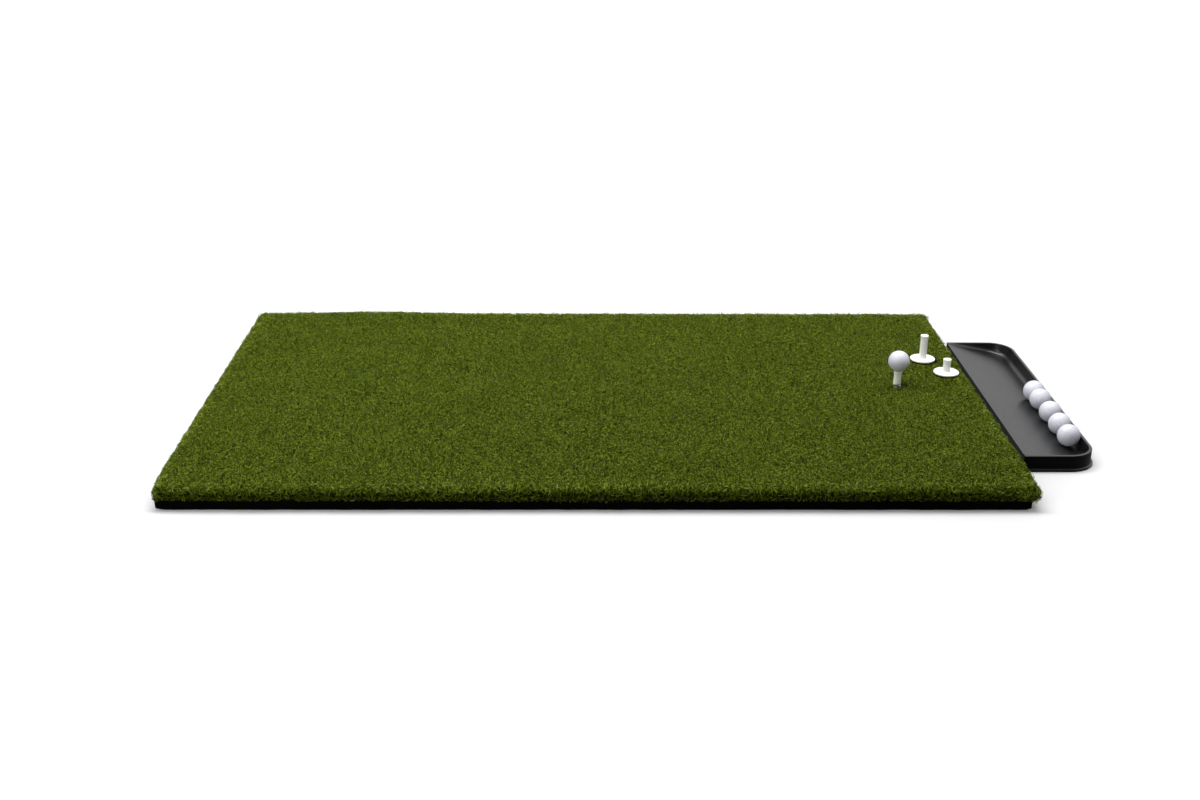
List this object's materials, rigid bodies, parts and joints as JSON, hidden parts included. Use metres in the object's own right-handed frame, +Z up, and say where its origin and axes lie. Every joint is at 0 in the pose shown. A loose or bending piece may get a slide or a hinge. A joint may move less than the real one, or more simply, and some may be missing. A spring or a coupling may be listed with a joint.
{
  "type": "golf hitting mat",
  "caption": "Artificial-turf golf hitting mat on a foam base, with a ball on a rubber tee in its hole, spare rubber tees and a sloped tray of balls beside it.",
  "frame": {"origin": "centre of the mat's underside, on the floor; the ball tray beside the mat makes the whole set's box reach further along +X", "axes": "+X along the mat's long side towards the ball tray, +Y across the mat away from the golfer, +Z up"},
  "size_m": [1.694, 0.9144, 0.1168],
  "materials": {
    "foam": "matte",
    "coat": "matte",
    "scrim": "matte",
    "pile": "matte",
    "tray": "satin",
    "tee_rubber": "matte",
    "ball_cover": "gloss",
    "ball_core": "matte"
  },
  "bodies": {
    "mat": {"foam_base": "foam", "backing_coat": "coat", "primary_backing": "scrim", "turf_pile": "pile"},
    "tray": {"ball_tray": "tray"},
    "tee_high": {"tee_high": "tee_rubber"},
    "tee_mid": {"tee_mid": "tee_rubber"},
    "tee_low": {"tee_low": "tee_rubber"},
    "teed_ball": {"teed_ball_cover": "ball_cover", "teed_ball_core": "ball_core"},
    "tray_ball_1": {"tray_ball_1_cover": "ball_cover", "tray_ball_1_core": "ball_core"},
    "tray_ball_2": {"tray_ball_2_cover": "ball_cover", "tray_ball_2_core": "ball_core"},
    "tray_ball_3": {"tray_ball_3_cover": "ball_cover", "tray_ball_3_core": "ball_core"},
    "tray_ball_4": {"tray_ball_4_cover": "ball_cover", "tray_ball_4_core": "ball_core"},
    "tray_ball_5": {"tray_ball_5_cover": "ball_cover", "tray_ball_5_core": "ball_core"}
  },
  "joints": [
    {"name": "tray_pull_away", "type": "slide", "parent": "mat", "child": "tray", "axis": [1, 0, 0], "range_m": [0, 0.3]},
    {"name": "tee_high_draw_down", "type": "slide", "parent": "mat", "child": "tee_high", "axis": [0, 0, -1], "range_m": [0, 0.028]},
    {"name": "teed_ball_lift", "type": "slide", "parent": "tee_high", "child": "teed_ball", "axis": [0, 0, 1], "range_m": [0, 0.15]},
    {"name": "tee_mid_lift", "type": "slide", "parent": "mat", "child": "tee_mid", "axis": [0, 0, 1], "range_m": [0, 0.12]},
    {"name": "tee_low_lift", "type": "slide", "parent": "mat", "child": "tee_low", "axis": [0, 0, 1], "range_m": [0, 0.12]},
    {"name": "tray_ball_1_lift", "type": "slide", "parent": "tray", "child": "tray_ball_1", "axis": [0, 0, 1], "range_m": [0, 0.1]},
    {"name": "tray_ball_2_lift", "type": "slide", "parent": "tray", "child": "tray_ball_2", "axis": [0, 0, 1], "range_m": [0, 0.1]},
    {"name": "tray_ball_3_lift", "type": "slide", "parent": "tray", "child": "tray_ball_3", "axis": [0, 0, 1], "range_m": [0, 0.1]},
    {"name": "tray_ball_4_lift", "type": "slide", "parent": "tray", "child": "tray_ball_4", "axis": [0, 0, 1], "range_m": [0, 0.1]},
    {"name": "tray_ball_5_lift", "type": "slide", "parent": "tray", "child": "tray_ball_5", "axis": [0, 0, 1], "range_m": [0, 0.1]}
  ]
}
